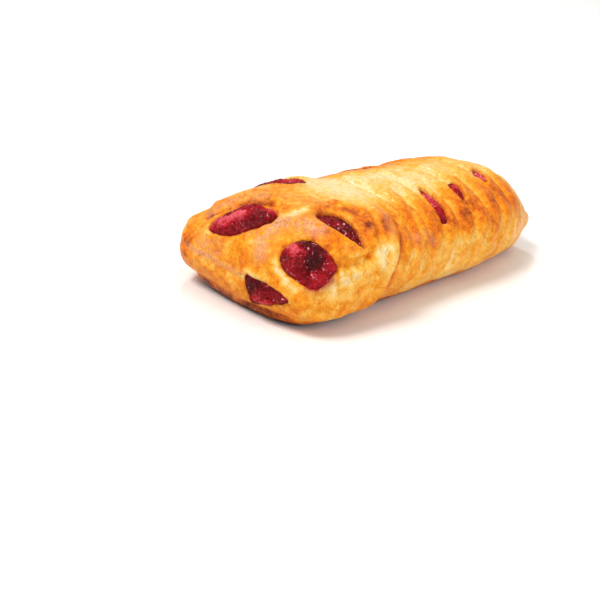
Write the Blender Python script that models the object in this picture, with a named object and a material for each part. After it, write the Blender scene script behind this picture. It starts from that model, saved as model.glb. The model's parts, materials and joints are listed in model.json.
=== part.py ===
"""Strawberry bun: a log of puff pastry, open in a lattice of windows over a strawberry filling.

The bun lies along X with its near, wider end at -X, and stands on its flat base at z = 0.
A place on it is given by two angles: `along`, 0 at the near tip and 180 at the far tip,
and `around`, 0 on top, 90 on the -Y side, -90 on the +Y side and 180 underneath.
"""

import math
from typing import NamedTuple

import bmesh
import bpy
import numpy as np
from mathutils import Matrix, Vector

MM = 0.001

# Driving dimensions of the whole bun.
LENGTH = 150.0 * MM
WIDTH = 67.0 * MM
HEIGHT = 34.0 * MM
BELLY_Z = 17.0 * MM  # height of the widest level along the middle
NEAR_BELLY_Z = 15.0 * MM  # the same at the two sealed ends
FAR_BELLY_Z = 11.0 * MM
BELLY_RUN = 35.0 * MM  # how far from a tip the widest level starts to drop
SINK = 0.9 * MM  # how much of the round underside the flat base takes off

# Plan outline and side outline of the two ends.
NEAR_SQUARENESS = 5.4
FAR_SQUARENESS = 3.3
NEAR_WIDENING = 0.10
FAR_WIDENING = -0.02
NEAR_TOP_RADIUS = 31.0 * MM
FAR_TOP_RADIUS = 33.0 * MM
END_BASE_RADIUS = 12.5 * MM
SIDE_POWER = 2.2
CROWN_POWER = 2.1
UNDERSIDE_POWER = 3.4

# Mesh of the pastry and of what fills it.
PASTRY_RINGS = 78
PASTRY_SEGMENTS = 52
CORE_RINGS = 22
CORE_SEGMENTS = 20
CROWDING = 0.22  # crowds the lengthwise lines towards the top, where the windows are

# The pastry wall round the filling.
END_WALL = 14.0 * MM
SIDE_WALL = 12.0 * MM
TOP_WALL = 7.5 * MM
BASE_WALL = 8.0 * MM
CLEARANCE = 0.35 * MM

# How far a window's cutter and a lump of filling reach out and in from the plain form.
CUT_OUTWARDS = 9.0 * MM
CUT_INWARDS = 17.0 * MM
LUMP_INWARDS = 16.0 * MM
WINDOW_SIDES = 24
LUMP_SEGMENTS = 14
LUMP_RINGS = 9
LUMP_SQUARENESS = 0.6
LUMPINESS = 0.8 * MM
DOME_DROP = 4.0 * MM


class Window(NamedTuple):
    """A window in the crust: where it is, its outline, and how its filling lies."""

    along: float  # degrees
    around: float
    half_length: float  # its reach round the bun
    half_width: float
    turn: float  # degrees, towards the near end on the way down the -Y side
    sharpness: float  # 1 is an ellipse, more is an almond
    skew: float  # above 0, wider at the end that lies further round
    stand: float  # filling above (+) or below (-) the crust


WINDOWS = {
    "near_left": Window(28.5, -12.0, 13.0 * MM, 7.0 * MM, -42.0, 1.35, 0.0, 0.2 * MM),
    "near_right": Window(27.0, 45.0, 9.8 * MM, 8.4 * MM, -25.0, 1.0, 0.1, -0.8 * MM),
    "near_face": Window(8.0, 142.0, 9.6 * MM, 4.8 * MM, 0.0, 1.2, 0.5, -1.0 * MM),
    "hood_right": Window(50.5, 30.0, 12.3 * MM, 5.6 * MM, 4.0, 1.15, 0.15, -1.8 * MM),
    "hood_left": Window(62.0, -38.0, 11.4 * MM, 4.8 * MM, -15.0, 1.3, 0.0, -0.6 * MM),
    "near_back": Window(38.0, -86.0, 9.0 * MM, 5.6 * MM, 15.0, 1.2, 0.1, -0.8 * MM),
    "middle_right": Window(92.0, 35.5, 9.2 * MM, 2.8 * MM, 12.0, 1.3, 0.25, -1.4 * MM),
    "far_right": Window(107.0, 28.0, 6.4 * MM, 2.2 * MM, 16.0, 1.2, 0.1, -1.2 * MM),
    "far_top": Window(127.0, 20.0, 5.2 * MM, 2.0 * MM, 18.0, 1.2, 0.0, -1.2 * MM),
    "middle_left": Window(100.0, -52.0, 9.0 * MM, 2.8 * MM, -12.0, 1.3, 0.0, -1.4 * MM),
    "far_left": Window(140.0, -48.0, 8.5 * MM, 4.6 * MM, -16.0, 1.2, 0.0, -0.8 * MM),
    "far_face": Window(163.0, 12.0, 8.5 * MM, 5.2 * MM, -10.0, 1.2, 0.0, 0.2 * MM),
}

# The hood: the puffed near end, which stands proud of the ribbed middle.
HOOD_EDGE_X = -21.0 * MM
HOOD_EDGE_SLANT = 17.0 * MM
HOOD_STEP = 1.7 * MM
HOOD_SOFTNESS = 1.8 * MM
HOOD_LIP = 0.7  # how far the rim of the hood swells, as a share of the step
HOOD_SPAN = (8.0, 40.0, 102.0, 132.0)  # around: it starts, is full, fades and ends

# The ribs: strips of dough between rows of slits that stayed shut.
RIB_START_X = -14.0 * MM
RIB_END_X = 60.0 * MM
RIB_PITCH = 9.4 * MM
RIB_SLANT = 12.0 * MM
SLIT_HALF_ARC = 27.0
SLIT_SPACING_ARC = 68.0
SLIT_HALF_WIDTH = 1.5 * MM
SLIT_DEPTH = 1.7 * MM

# Relief that differs with `around` fades out this many degrees from either tip.
TIP_FADE = 16.0

# Swellings (+) and hollows (-): along, around, reach along, reach around in degrees, height.
SWELLINGS = (
    (44.0, 25.0, 9.0, 30.0, 2.0 * MM),
    (60.0, 58.0, 8.0, 26.0, 1.2 * MM),
    (18.0, 18.0, 10.0, 26.0, 1.2 * MM),
    (46.0, -22.0, 9.0, 20.0, 1.4 * MM),
    (75.0, -70.0, 16.0, 24.0, 0.9 * MM),
    (120.0, 60.0, 14.0, 22.0, 0.8 * MM),
    (152.0, -20.0, 12.0, 24.0, 1.0 * MM),
    (161.0, 88.0, 7.0, 16.0, 3.0 * MM),
    (40.0, 78.0, 9.0, 14.0, -2.0 * MM),
    (36.0, 5.0, 6.0, 9.0, -1.4 * MM),
    (68.0, -14.0, 12.0, 26.0, 1.2 * MM),
    (140.0, 75.0, 10.0, 20.0, -0.9 * MM),
)

SEAM_Z = 13.0 * MM
SEAM_TILT = 0.09
SEAM_DEPTH = 0.8 * MM
SEAM_WIDTH = 1.5 * MM
SEAM_REACH = 60.0  # how far along, in degrees, the seam shows from the near tip

PASTRY_COLOUR = (0.80, 0.43, 0.13, 1.0)
FILLING_COLOUR = (0.33, 0.02, 0.05, 1.0)


def clear_scene():
    for obj in list(bpy.data.objects):
        bpy.data.objects.remove(obj, do_unlink=True)


def new_collection(name):
    collection = bpy.data.collections.new(name)
    bpy.context.scene.collection.children.link(collection)
    return collection


def smooth_ramp(value):
    """0 below 0, 1 above 1, and smooth in between."""
    held = np.clip(value, 0.0, 1.0)
    return held * held * (3.0 - 2.0 * held)


def signed_power(value, power):
    return np.sign(value) * np.abs(value) ** power


def quarter_round(distance, radius):
    """The height, as a share, of a quarter circle at this distance from its start."""
    held = np.clip(1.0 - distance / radius, 0.0, 1.0)
    return np.sqrt(np.clip(1.0 - held * held, 0.0, 1.0))


def plain_form(along, around, end_inset=0.0, side_inset=0.0, top_inset=0.0, base_inset=0.0):
    """Points of the bun's plain form, or of the same form drawn in by the insets."""
    along = np.asarray(along, float)
    around = np.asarray(around, float)
    length = LENGTH - 2.0 * end_inset
    share = -np.cos(np.radians(along))
    near = share < 0.0
    squareness = np.where(near, NEAR_SQUARENESS, FAR_SQUARENESS)
    plan = np.clip(1.0 - np.abs(share) ** squareness, 0.0, 1.0) ** (1.0 / squareness)
    widening = np.where(near, NEAR_WIDENING, FAR_WIDENING)
    half_width = (WIDTH / 2.0 * (1.0 + widening * share**2) - side_inset) * plan
    from_tip = (1.0 - np.abs(share)) * length / 2.0
    rise = quarter_round(from_tip, np.where(near, NEAR_TOP_RADIUS, FAR_TOP_RADIUS))
    fall = quarter_round(from_tip, END_BASE_RADIUS)
    drop = np.clip(1.0 - from_tip / BELLY_RUN, 0.0, 1.0) ** 2
    end_belly = np.where(near, NEAR_BELLY_Z, FAR_BELLY_Z)
    belly = BELLY_Z + (end_belly - BELLY_Z) * drop
    crown = np.maximum(HEIGHT - top_inset - belly, 1.0 * MM) * rise
    under = np.maximum(belly - base_inset + SINK, 1.0 * MM) * fall
    cosine = np.cos(np.radians(around))
    sine = np.sin(np.radians(around))
    y = -half_width * signed_power(sine, 2.0 / SIDE_POWER)
    up = crown * np.abs(cosine) ** (2.0 / CROWN_POWER)
    down = under * np.abs(cosine) ** (2.0 / UNDERSIDE_POWER)
    z = belly + np.where(cosine > 0.0, up, -down)
    return np.stack([share * length / 2.0, y, z], axis=-1)


def outward(along, around, **insets):
    """Unit normals of the plain form, by small steps along and around it."""
    step = 0.4
    along = np.clip(np.asarray(along, float), step, 180.0 - step)
    around = np.asarray(around, float)
    lengthwise = plain_form(along + step, around, **insets) - plain_form(along - step, around, **insets)
    crosswise = plain_form(along, around + step, **insets) - plain_form(along, around - step, **insets)
    normal = np.cross(crosswise, lengthwise)
    return normal / np.maximum(np.linalg.norm(normal, axis=-1, keepdims=True), 1e-12)


def angle_apart(first, second):
    return (first - second + 180.0) % 360.0 - 180.0


def window_frame(window):
    """A window's centre, its two directions in the crust, and the crust's normal there."""
    centre = plain_form(window.along, window.around)
    normal = outward(window.along, window.around)
    step = 0.5
    down = plain_form(window.along, window.around + step)
    down = down - plain_form(window.along, window.around - step)
    down -= normal * np.dot(down, normal)
    down /= np.linalg.norm(down)
    turn = math.radians(window.turn)
    first = down * math.cos(turn) + np.cross(down, normal) * math.sin(turn)
    return centre, first, np.cross(normal, first), normal


def hood_relief(points, around):
    """The step down from the hood to the ribbed middle, which fades out over the top."""
    turn = np.abs(around)
    edge = HOOD_EDGE_X - HOOD_EDGE_SLANT * (turn / 100.0) ** 2
    past = (points[..., 0] - edge) / HOOD_SOFTNESS
    start, full, fade, end = HOOD_SPAN
    side = smooth_ramp((turn - start) / (full - start)) * smooth_ramp((end - turn) / (end - fade))
    step = 0.5 - 0.5 * np.tanh(past)
    lip = HOOD_LIP * np.exp(-(((past + 2.2) / 1.8) ** 2))
    return HOOD_STEP * side * (step + lip - 0.5)


def slit_relief(points, around):
    """Rows of shut slits, staggered from row to row, with a swollen strip between rows."""
    slanted = points[..., 0] + RIB_SLANT * (np.abs(around) / 100.0) ** 2
    row = np.round((slanted - RIB_START_X) / RIB_PITCH)
    inside = smooth_ramp((slanted - RIB_START_X) / RIB_PITCH + 0.8)
    inside = inside * smooth_ramp((RIB_END_X - slanted) / RIB_PITCH + 0.5)
    inside = inside * smooth_ramp((112.0 - np.abs(around)) / 20.0)
    from_row = slanted - RIB_START_X - row * RIB_PITCH
    stagger = np.where(row % 2 == 0, 0.0, SLIT_SPACING_ARC / 2.0)
    shifted = around - stagger
    from_slit = shifted - SLIT_SPACING_ARC * np.round(shifted / SLIT_SPACING_ARC)
    tip = smooth_ramp((SLIT_HALF_ARC - np.abs(from_slit)) / 9.0)
    groove = np.exp(-((from_row / SLIT_HALF_WIDTH) ** 2)) * (0.25 + 0.75 * tip)
    return inside * SLIT_DEPTH * (0.35 - groove)


def swelling_relief(along, around):
    total = np.zeros(np.broadcast(along, around).shape)
    for place, turn, reach, spread, height in SWELLINGS:
        apart = ((along - place) / reach) ** 2 + (angle_apart(around, turn) / spread) ** 2
        total = total + height * np.exp(-apart)
    return total


def seam_relief(points, along):
    """The line round the near end where the lattice sheet meets the base sheet."""
    level = SEAM_Z + SEAM_TILT * points[..., 1]
    above = (points[..., 2] - level) / SEAM_WIDTH
    reach = smooth_ramp((SEAM_REACH - along) / 20.0)
    line = -np.exp(-(above**2))
    lip = 0.6 * np.exp(-(((above + 2.0) / 1.2) ** 2))
    return SEAM_DEPTH * reach * (line + lip)


def waviness(points):
    """Slow unevenness of hand-shaped dough."""
    x, y, z = (points[..., i] / MM for i in range(3))
    wave = np.sin(0.11 * x + 0.07 * y + 1.3) * np.sin(0.13 * y - 0.05 * x + 0.4)
    fine = np.sin(0.31 * x - 0.17 * z + 2.1) * np.cos(0.27 * y + 0.21 * z + 0.6)
    return (0.55 * wave + 0.22 * fine) * MM


def pastry_points(along, around):
    """The crust's surface: the plain form with its relief, standing on a flat base."""
    points = plain_form(along, around)
    normals = outward(along, around)
    turned = hood_relief(points, around) + slit_relief(points, around)
    turned = turned + swelling_relief(along, around)
    off_tip = smooth_ramp(np.minimum(along, 180.0 - along) / TIP_FADE)
    relief = turned * off_tip + seam_relief(points, along) + waviness(points)
    on_top = smooth_ramp((points[..., 2] - 1.0 * MM) / (5.0 * MM))
    shaped = points + normals * (relief * on_top)[..., None]
    shaped[..., 2] = np.maximum(shaped[..., 2] - SINK * (1.0 - on_top), 0.0)
    return shaped


def sphere_angles(mesh):
    """The along and around angles of each point of a unit sphere whose poles lie on X."""
    flat = np.empty(len(mesh.vertices) * 3, np.float32)
    mesh.vertices.foreach_get("co", flat)
    unit = flat.reshape(-1, 3).astype(float)
    unit /= np.linalg.norm(unit, axis=1, keepdims=True)
    along = np.degrees(np.arccos(np.clip(-unit[:, 0], -1.0, 1.0)))
    turned = np.arctan2(-unit[:, 1], unit[:, 2])
    around = np.degrees(turned - CROWDING * np.sin(turned))
    return along, around


def sphere_mesh(name, rings, segments):
    """A UV sphere of radius 1 with its poles on X."""
    mesh = bpy.data.meshes.new(name)
    shape = bmesh.new()
    bmesh.ops.create_uvsphere(shape, u_segments=segments, v_segments=rings, radius=1.0)
    lie_down = Matrix.Rotation(math.radians(-90.0), 3, "Y")
    bmesh.ops.rotate(shape, verts=shape.verts, matrix=lie_down)
    bmesh.ops.recalc_face_normals(shape, faces=shape.faces)
    shape.to_mesh(mesh)
    shape.free()
    return mesh


def set_points(mesh, points):
    mesh.vertices.foreach_set("co", points.astype(np.float32).ravel())
    mesh.update()


def add_object(name, mesh, collection, material=None):
    obj = bpy.data.objects.new(name, mesh)
    collection.objects.link(obj)
    if material is not None:
        mesh.materials.append(material)
    return obj


def add_material(name, colour, roughness):
    material = bpy.data.materials.new(name)
    material.use_nodes = True
    shader = material.node_tree.nodes["Principled BSDF"]
    shader.inputs["Base Color"].default_value = colour
    shader.inputs["Roughness"].default_value = roughness
    shader.inputs["Metallic"].default_value = 0.0
    material.diffuse_color = colour
    return material


def core_object(name, collection, grow):
    """The log of filling, drawn in from the crust by the wall and grown by this much."""
    mesh = sphere_mesh(name, CORE_RINGS, CORE_SEGMENTS)
    along, around = sphere_angles(mesh)
    points = plain_form(
        along,
        around,
        end_inset=END_WALL - grow,
        side_inset=SIDE_WALL - grow,
        top_inset=TOP_WALL - grow,
        base_inset=BASE_WALL - grow,
    )
    points[:, 2] = np.maximum(points[:, 2], BASE_WALL - grow)
    set_points(mesh, points)
    return add_object(name, mesh, collection)


def outline_point(angle, window, inset=0.0):
    """A point of a window's outline, drawn in by the inset."""
    first = math.cos(angle)
    second = float(signed_power(math.sin(angle), window.sharpness))
    half_length = window.half_length - inset
    half_width = window.half_width - inset
    return half_length * first, half_width * second * (1.0 + window.skew * first)


def window_cutter(name, window, collection):
    """A prism on the window's outline, standing across the crust."""
    centre, first, second, normal = window_frame(window)
    mesh = bpy.data.meshes.new(name)
    shape = bmesh.new()
    bmesh.ops.create_cone(
        shape, cap_ends=True, segments=WINDOW_SIDES, radius1=1.0, radius2=1.0, depth=1.0
    )
    for vert in shape.verts:
        u, v = outline_point(math.atan2(vert.co.y, vert.co.x), window)
        w = CUT_OUTWARDS if vert.co.z > 0.0 else -CUT_INWARDS
        vert.co = Vector(centre + first * u + second * v + normal * w)
    shape.to_mesh(mesh)
    shape.free()
    return add_object(name, mesh, collection)


def lump(name, window, collection):
    """The filling in one window: a plug with a lumpy dome, which roots in the core."""
    centre, first, second, normal = window_frame(window)
    crust = pastry_points(np.array(window.along), np.array(window.around))
    top = float(np.dot(crust - centre, normal)) + window.stand
    mesh = bpy.data.meshes.new(name)
    shape = bmesh.new()
    bmesh.ops.create_uvsphere(
        shape, u_segments=LUMP_SEGMENTS, v_segments=LUMP_RINGS, radius=1.0
    )
    for vert in shape.verts:
        angle = math.atan2(vert.co.y, vert.co.x)
        reach = min(1.0, math.hypot(vert.co.x, vert.co.y)) ** LUMP_SQUARENESS
        u, v = outline_point(angle, window, CLEARANCE)
        bump = LUMPINESS * math.sin(3.0 * angle + 4.0 * reach + window.along) * (1.0 - reach)
        foot = top - DOME_DROP
        if vert.co.z > 0.0:
            w = foot + DOME_DROP * vert.co.z + bump
        else:
            w = foot * (1.0 + vert.co.z) + LUMP_INWARDS * vert.co.z
        vert.co = Vector(centre + (first * u + second * v) * reach + normal * w)
    shape.to_mesh(mesh)
    shape.free()
    return add_object(name, mesh, collection)


def apply_boolean(obj, operation, collection):
    """Applies one Boolean with a whole collection, then removes the collection's objects."""
    modifier = obj.modifiers.new(operation.lower(), "BOOLEAN")
    modifier.operation = operation
    modifier.operand_type = "COLLECTION"
    modifier.collection = collection
    modifier.solver = "MANIFOLD"
    graph = bpy.context.evaluated_depsgraph_get()
    result = bpy.data.meshes.new_from_object(obj.evaluated_get(graph))
    obj.modifiers.clear()
    obj.data = result
    for other in list(collection.objects):
        bpy.data.objects.remove(other, do_unlink=True)
    bpy.data.collections.remove(collection)


def add_filling(collection):
    filling = core_object("filling", collection, grow=0.0)
    lumps = new_collection("lumps")
    for name, window in WINDOWS.items():
        lump("lump_" + name, window, lumps)
    apply_boolean(filling, "UNION", lumps)
    filling.data.materials.clear()
    filling.data.materials.append(add_material("strawberry", FILLING_COLOUR, 0.3))
    return filling


def add_pastry(collection):
    mesh = sphere_mesh("pastry", PASTRY_RINGS, PASTRY_SEGMENTS)
    set_points(mesh, pastry_points(*sphere_angles(mesh)))
    pastry = add_object("pastry", mesh, collection)
    cutters = new_collection("cutters")
    core_object("cavity", cutters, grow=CLEARANCE)
    for name, window in WINDOWS.items():
        window_cutter("window_" + name, window, cutters)
    apply_boolean(pastry, "DIFFERENCE", cutters)
    pastry.data.materials.clear()
    pastry.data.materials.append(add_material("puff_pastry", PASTRY_COLOUR, 0.45))
    return pastry


def centre_on_origin(objects):
    """Moves the meshes so that the middle of their common box stands over the origin."""
    corners = np.array([tuple(v.co) for obj in objects for v in obj.data.vertices])
    middle = (corners.min(axis=0) + corners.max(axis=0)) / 2.0
    for obj in objects:
        obj.data.transform(Matrix.Translation((-middle[0], -middle[1], 0.0)))
        obj.data.shade_smooth()
        obj.data.set_sharp_from_angle(angle=math.radians(40.0))


def main():
    clear_scene()
    bun = new_collection("strawberry_bun")
    centre_on_origin([add_pastry(bun), add_filling(bun)])


main()
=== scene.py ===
"""Strawberry bun: the baked crust, the strawberry filling and the studio round them.

Two finer pieces stand for the two solids and keep their form: a crust with its baked relief and
rolled window rims, and a filling of cooked strawberries that rises into each window.
A place on the bun is given by two angles: `along`, 0 at the near tip (-X) and 180 at the far
tip, and `around`, 0 on top, 90 on the -Y side, -90 on the +Y side and 180 underneath.
"""

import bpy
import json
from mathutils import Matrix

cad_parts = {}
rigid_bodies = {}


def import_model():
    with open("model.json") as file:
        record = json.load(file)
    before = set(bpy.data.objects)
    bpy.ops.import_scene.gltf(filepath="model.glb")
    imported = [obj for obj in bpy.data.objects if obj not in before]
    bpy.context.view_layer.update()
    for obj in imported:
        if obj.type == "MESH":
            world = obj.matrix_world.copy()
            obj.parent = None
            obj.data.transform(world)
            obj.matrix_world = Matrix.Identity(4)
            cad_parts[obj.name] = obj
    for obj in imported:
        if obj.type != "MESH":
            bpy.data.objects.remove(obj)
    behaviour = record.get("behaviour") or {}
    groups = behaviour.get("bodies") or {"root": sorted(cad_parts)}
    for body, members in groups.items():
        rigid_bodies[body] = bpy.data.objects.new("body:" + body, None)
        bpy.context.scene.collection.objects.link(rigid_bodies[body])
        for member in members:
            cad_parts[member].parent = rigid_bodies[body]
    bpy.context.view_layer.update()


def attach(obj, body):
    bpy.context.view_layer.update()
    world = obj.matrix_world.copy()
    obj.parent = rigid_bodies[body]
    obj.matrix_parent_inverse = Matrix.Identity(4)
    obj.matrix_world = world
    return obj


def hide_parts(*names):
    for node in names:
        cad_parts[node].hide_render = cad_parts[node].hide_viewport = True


bl_info = {
    "name": "Strawberry Bun",
    "version": (1, 0, 0),
    "blender": (4, 5, 0),
    "location": "3D View > Sidebar > Bun",
    "description": "Builds the crust, the filling and the studio of a strawberry bun",
    "category": "Object",
}

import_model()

import json
import math
import random
from typing import NamedTuple

import bmesh
import bpy
import numpy as np
from bpy.props import FloatProperty, FloatVectorProperty, PointerProperty
from mathutils import Matrix, Vector, noise

MM = 0.001

# The form. Its values are the solids' own, apart from the seam's depth, the swellings that are
# marked below, and the windows.
LENGTH = 150.0 * MM
WIDTH = 67.0 * MM
HEIGHT = 34.0 * MM
BELLY_Z = 17.0 * MM
NEAR_BELLY_Z = 15.0 * MM
FAR_BELLY_Z = 11.0 * MM
BELLY_RUN = 35.0 * MM
SINK = 0.9 * MM
NEAR_SQUARENESS = 5.4
FAR_SQUARENESS = 3.3
NEAR_WIDENING = 0.10
FAR_WIDENING = -0.02
NEAR_TOP_RADIUS = 31.0 * MM
FAR_TOP_RADIUS = 33.0 * MM
END_BASE_RADIUS = 12.5 * MM
SIDE_POWER = 2.2
CROWN_POWER = 2.1
UNDERSIDE_POWER = 3.4
END_WALL = 14.0 * MM
SIDE_WALL = 12.0 * MM
TOP_WALL = 7.5 * MM
BASE_WALL = 8.0 * MM
HOOD_EDGE_X = -21.0 * MM
HOOD_EDGE_SLANT = 17.0 * MM
HOOD_STEP = 1.7 * MM
HOOD_SOFTNESS = 1.8 * MM
HOOD_LIP = 0.7  # how far the rim of the hood swells, as a share of the step
HOOD_SPAN = (8.0, 40.0, 102.0, 132.0)  # around: it starts, is full, fades and ends
RIB_START_X = -14.0 * MM
RIB_END_X = 60.0 * MM
RIB_PITCH = 9.4 * MM
RIB_SLANT = 12.0 * MM
SLIT_HALF_ARC = 27.0
SLIT_SPACING_ARC = 68.0
SLIT_HALF_WIDTH = 1.5 * MM
SLIT_DEPTH = 1.7 * MM
TIP_FADE = 16.0  # relief that differs with `around` fades out this many degrees from a tip
RIB_LIFT = 0.35  # how high the dough between slits stands, as a share of a slit's depth

# Swellings (+) and hollows (-): along, around, reach along, reach around, height in mm.
SWELLINGS = (
    (44, 25, 9, 30, 2.0),
    (60, 58, 8, 26, 1.2),
    (18, 18, 10, 26, 1.2),
    (46, -22, 9, 20, 0.2),  # 1.4 in the solids
    (36, -36, 8, 16, -1.6),  # only here
    (31, -48, 8, 12, -1.3),  # only here
    (75, -70, 16, 24, 0.9),
    (120, 60, 14, 22, 0.8),
    (152, -20, 12, 24, 1.0),
    (161, 88, 7, 16, 3.0),
    (40, 78, 9, 14, -2.0),
    (36, 5, 6, 9, -1.4),
    (68, -14, 12, 26, 1.2),
    (140, 75, 10, 20, -0.9),
    (17, -62, 8, 18, -1.3),  # only here
    (63, -42, 9, 14, -1.7),  # only here
)

# The seam round the near end, and the line above the base, which only the look has.
SEAM_Z = 13.0 * MM
SEAM_TILT = 0.09
SEAM_DEPTH = 0.4 * MM
SEAM_WIDTH = 1.5 * MM
SEAM_REACH = 60.0  # how far along, in degrees, the seam shows from the near tip
BASE_SEAM_Z = 4.0 * MM
BASE_SEAM_DEPTH = 0.7 * MM
BASE_SEAM_WIDTH = 0.8 * MM

# The crust's mesh, and its finest relief.
CRUST_RINGS = 232
CRUST_SEGMENTS = 160
RING_PROFILE = 65.0  # where round the bun the rings lie evenly, in degrees
SEGMENT_CROWDING = 0.22  # how far the segments move to the top
RIM_PASSES = ((3.5 * MM, 2.5 * MM), (1.6 * MM, 1.3 * MM))  # out of and into a window, by pass

WRINKLE_SIZE = 4.5 * MM

# How much browner (+) or paler (-) each share makes the crust, where 0 is pale and 1 dark brown.
# Most shares are browning; those marked below are painted shade or painted highlights.
BAKE_AND_SHADING_WEIGHTS = {
    "dough": 0.40,
    "shoulder": 0.16,  # where the strips turn down to the sides
    "strips": 0.22,
    "crest": -0.22,  # the top behind the hood
    "hood": 0.07,
    "hood_flecks": 0.16,
    # lighter low on the sides of the middle
    "low_sides": -0.12,
    # a darker band just behind the hood's step: browner dough and painted shade under the step
    "hood_step_shade": 0.30,
    "clouds": 0.07,
    "blotches": 0.06,
    # the marks below: baking marks, with painted shade and painted highlights among them
    "marks": 1.0,
    # browning where the base lay on the tray, and painted contact shadow along the base
    "foot": 0.44,  # the edge that lies on the tray
    "hood_foot": 0.04,
    "foot_flecks": 0.3,
    "base_seam": 0.28,
    # painted shade in the grooves of the dough's folds
    "creases": 0.08,
    "rims": 0.07,
}

# How jam soaks the crust of a window's wall and edge.
SOAK_DEPTH = 1.7 * MM
SOAK_RUN = 1.4 * MM
EDGE_SOAK = 0.3

# How the crust rolls into a window: its rim, then its wall. Shares are of the half width.
CRUST_REACH = 14.0 * MM  # crust further from the window's plane keeps its shape
RIM_RUN = 8.0 * MM  # and so does crust that lies further past the window's ends
RAGGED_HEIGHT = 0.5 * MM
RAGGED_SIZE = 3.4 * MM
NARROW_RIM = 0.42  # the rim's largest share, in a narrow window
FULLER_RIM = 3.0  # how much wider the rim is on a window's fuller side, for each bulge
FULLER_BLEND = 2.0 * MM
BEAD_HEIGHT = 0.5 * MM
WALL_DEPTH = 7.0 * MM
WALL_RUN = 2.0 * MM
NARROW_WALL = 0.55
WALL_LEAN = 0.2  # how far a window's wall leans in, as a share of the way to its middle

# The filling: a core, and in each window a plug that carries the strawberry pieces.
CORE_RINGS = 40
CORE_SEGMENTS = 36
SAMPLES_ALONG = (2.0, 178.0, 200)  # from, to and how many: where the crust's height is taken
SAMPLES_AROUND = (-178.0, 178.0, 240)
LARGE_LUMP = (72, 110)  # rings and segments of a plug
SMALL_LUMP = (48, 60)
LARGE_HALF_WIDTH = 4.0 * MM  # a wider window has a large plug
TOP_SHARE = 0.72  # share of the plug's rings that lie on its top
FOOT_SHARE = 0.93  # share of them after which it closes
FOOT_RUN = 0.07
BITE_INTO_WALL = 0.7 * MM  # how far the filling reaches into the crust beside it
LUMP_INWARDS = 14.0 * MM
FILLING_REACH = 12.0 * MM  # fruit further from the window's plane isn't its own
EDGE_RUN = 1.4 * MM
CORE_RIPENESS = 0.3

# The fruit's surface: clumps bend the pieces' outlines, cells and granules roughen them.
CLUMP_SIZE = 3.2 * MM
CLUMP_BEND = 1.2 * MM
CELL_SIZE = 2.4 * MM
CELL_BEND = 0.7 * MM
CELL_MIDDLE = 0.7  # the usual height of a point in its cell
CREASE_WIDTH = 0.13
GRANULE_SIZE = 1.0 * MM
PIECE_ROUNDNESS = 0.6  # power of a piece's dome: below 1 it is flatter on top
PIECE_BLEND = 4  # power of the blend between pieces: higher is sharper
EDGE_DROP = 0.9  # how steeply the fruit falls off under the crust

# The camera, from a fit of the bun's form to the outline in the picture.
PICTURE = 600.0  # pixels
AZIMUTH = -50.09
ELEVATION = 23.34
ROLL = 7.16
FOCAL_PIXELS = 1167.0
TARGET = Vector((0.0, 0.0, 0.020))
TARGET_PIXEL = (379.2, 216.0)
DISTANCE = 0.4325
SENSOR = 36.0
CLIP = (0.01, 50.0)
VIEW_GAMMA = 0.88  # a little more contrast, as in the picture

# The studio: the floor, the light from all round, and each softbox's place and size.
FLOOR_REACH = 6.0
FLOOR_GAP = 0.05 * MM
WORLD_STRENGTH = 0.58
LIGHT_TARGET = Vector((0.0, 0.0, 0.015))
SOFTBOXES = {
    "key": ((-0.84, 0.28, 1.40), 0.56),
    "fill": ((0.10, -1.40, 0.90), 0.8),
    "glint": ((0.55, 0.80, 1.20), 0.16),
}


class Window(NamedTuple):
    """A window in the crust: where it is, its outline, and how its filling lies."""

    along: float  # degrees
    around: float
    half_length: float  # its reach round the bun
    half_width: float
    turn: float  # degrees, towards the near end on the way down the -Y side
    sharpness: float  # 1 is an ellipse, more is an almond
    skew: float  # above 0, wider at the end that lies further round
    stand: float  # filling above (+) or below (-) the crust
    shift: tuple = (0.0, 0.0)  # mm, how far its outline lies from its place
    blunt: float = 0.0  # how square the end that lies further round is, below 1
    bulge: float = 0.0  # above 0, fuller on the side towards the far end


# The windows: the values of Window in its order, with its lengths in mm.
WINDOW_ROWS = {
    "near_left": (28.5, -12, 11.7, 6.6, -34.7, 1.7, 0.1, 0.7, (0.2, -0.3)),
    "near_right": (27, 45, 8.2, 6.7, -9.6, 0.85, -0.1, 0.3, (1, -1.1), 0.5, 0.16),
    "near_face": (8, 142, 8.8, 4.1, -2.5, 0.85, 0.6, 0, (-1.4, 0.4), 0.66, -0.27),
    "hood_right": (50.5, 30, 9.5, 4.8, -15.8, 1, -0.5, -1.5, (3.2, -3.6), 0, 0.5),
    "hood_left": (62, -36.2, 11.4, 4.8, -15, 1.3, 0, 0.4),
    "near_back": (38, -86, 9, 5.6, 15, 1.2, 0.1, -1.4),
    "middle_right": (92, 35.5, 9.6, 2.3, 14.5, 1.5, 0.26, -0.5, (-1.3, 2.2)),
    "far_right": (107, 28, 6, 1.9, 26, 1.4, -0.4, -0.5, (0.9, 0.6)),
    "far_top": (127, 20, 3.8, 1.5, 17, 1.2, -0.4, -0.5, (1.1, -0.8)),
    "middle_left": (100, -52, 9, 2.8, -12, 1.3, 0, -0.6),
    "far_left": (140, -48, 8.5, 4.6, -16, 1.2, 0, -0.8),
    "far_face": (163, 12, 8.5, 5.2, -10, 1.2, 0, 0.2),
}
WINDOWS = {
    name: Window(*row[:2], row[2] * MM, row[3] * MM, *row[4:7], row[7] * MM, *row[8:])
    for name, row in WINDOW_ROWS.items()
}

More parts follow.
